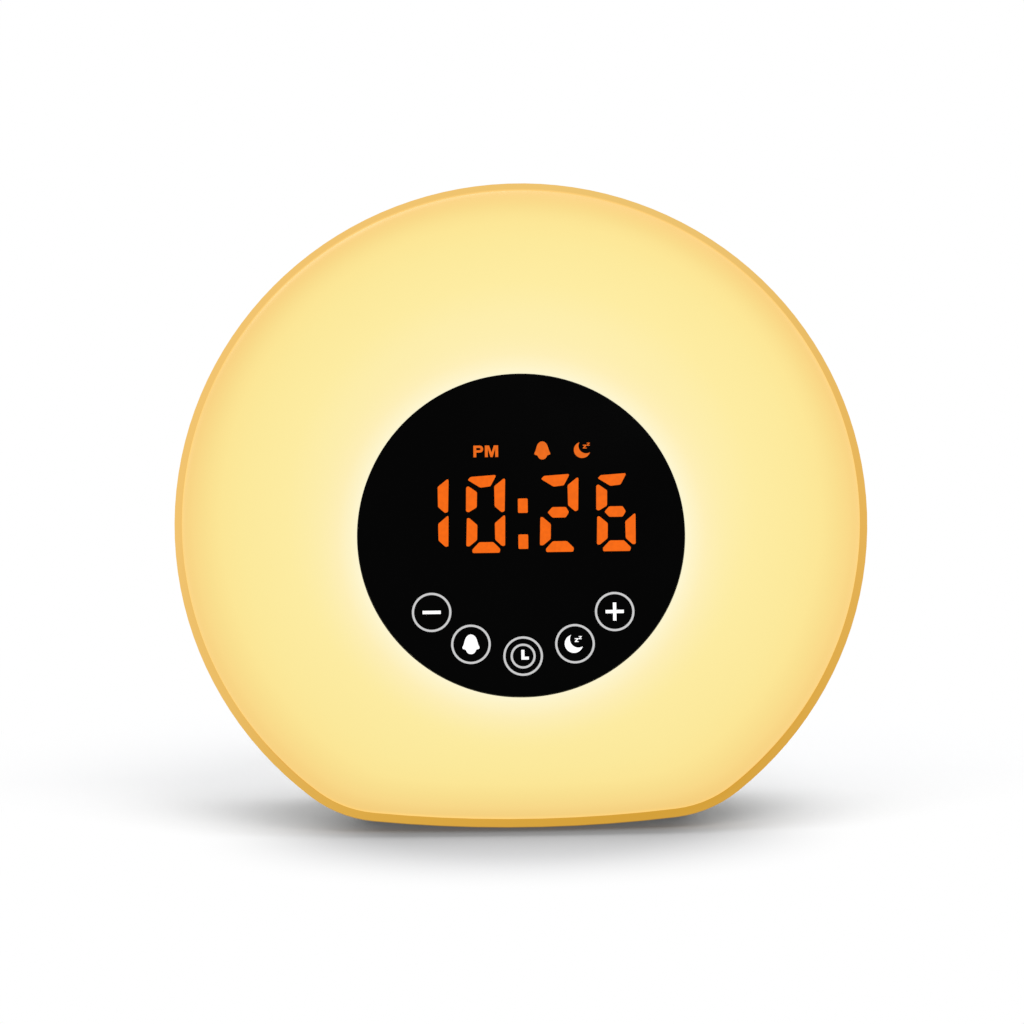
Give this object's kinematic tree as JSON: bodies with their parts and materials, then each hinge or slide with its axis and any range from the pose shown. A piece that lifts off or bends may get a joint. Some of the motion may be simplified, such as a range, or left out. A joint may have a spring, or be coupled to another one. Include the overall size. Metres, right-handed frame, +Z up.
{
  "type": "sunrise alarm clock",
  "caption": "Bedside sunrise alarm clock: domed lit face with a round black display, flat base, speaker, buttons and battery door on the back.",
  "frame": {"origin": "on the table, under the middle of the clock's box", "axes": "+Z up, the face looks to -Y and leans back, +X to the right as seen from the front"},
  "size_m": [0.17, 0.1002, 0.1591],
  "materials": {
    "diffuser": "satin translucent",
    "window_black": "gloss",
    "carrier_black": "matte",
    "circuit_board": "satin",
    "light_board": "satin",
    "screw_steel": "satin",
    "foam_black": "matte",
    "digit_orange": "satin",
    "led_yellow": "gloss",
    "housing_white": "satin",
    "speaker_steel": "satin",
    "magnet": "matte",
    "cone_paper": "matte",
    "cell_jacket": "gloss",
    "contact_nickel": "polished",
    "socket_black": "satin",
    "chip_black": "matte",
    "capacitor_sleeve": "gloss",
    "connector_cream": "satin",
    "ribbon_grey": "matte",
    "lead_red": "satin",
    "foot_rubber": "matte",
    "button_grey": "satin",
    "plunger_black": "satin"
  },
  "bodies": {
    "clock": {"front_diffuser": "diffuser", "display_window": "window_black", "window_carrier": "carrier_black", "touch_board": "circuit_board", "touch_board_screws": "screw_steel", "touch_pads": "foam_black", "digit_module": "carrier_black", "digit_segments": "digit_orange", "reflector_plate": "housing_white", "reflector_screws": "screw_steel", "carrier_screws": "screw_steel", "ring_light_board": "light_board", "ring_light_leds": "led_yellow", "rear_housing": "housing_white", "speaker_gasket": "foam_black", "speaker_basket": "speaker_steel", "speaker_magnet": "magnet", "speaker_clamps": "speaker_steel", "speaker_clamp_screws": "screw_steel", "switch_bodies": "carrier_black", "button_board": "circuit_board", "button_board_screws": "screw_steel", "battery_cells": "cell_jacket", "battery_contacts": "contact_nickel", "battery_springs": "contact_nickel", "power_socket": "socket_black", "power_socket_pin": "contact_nickel", "power_socket_nut": "contact_nickel", "main_board": "circuit_board", "main_board_screws": "screw_steel", "main_board_chips": "chip_black", "main_board_capacitors": "capacitor_sleeve", "board_connectors": "connector_cream", "display_ribbon": "ribbon_grey", "speaker_leads": "lead_red", "rubber_feet": "foot_rubber"},
    "light_button_body": {"light_button": "button_grey", "light_switch_plunger": "plunger_black"},
    "radio_button_body": {"radio_button": "button_grey", "radio_switch_plunger": "plunger_black"},
    "sound_button_body": {"sound_button": "button_grey", "sound_switch_plunger": "plunger_black"},
    "cone_body": {"speaker_cone": "cone_paper"},
    "battery_door_body": {"battery_door": "housing_white"}
  },
  "joints": [
    {"name": "light_button_press", "type": "slide", "parent": "clock", "child": "light_button_body", "axis": [0, -1, 0], "range_m": [0, 0.0008], "stiffness_N_per_m": 400},
    {"name": "radio_button_press", "type": "slide", "parent": "clock", "child": "radio_button_body", "axis": [0, -1, 0], "range_m": [0, 0.0008], "stiffness_N_per_m": 400},
    {"name": "sound_button_press", "type": "slide", "parent": "clock", "child": "sound_button_body", "axis": [0, -1, 0], "range_m": [0, 0.0008], "stiffness_N_per_m": 400},
    {"name": "speaker_cone_stroke", "type": "slide", "parent": "clock", "child": "cone_body", "axis": [0, 1, 0], "range_m": [-0.0005, 0.0005], "stiffness_N_per_m": 1500},
    {"name": "battery_door_off", "type": "slide", "parent": "clock", "child": "battery_door_body", "axis": [0, 1, 0], "range_m": [0, 0.03]}
  ]
}
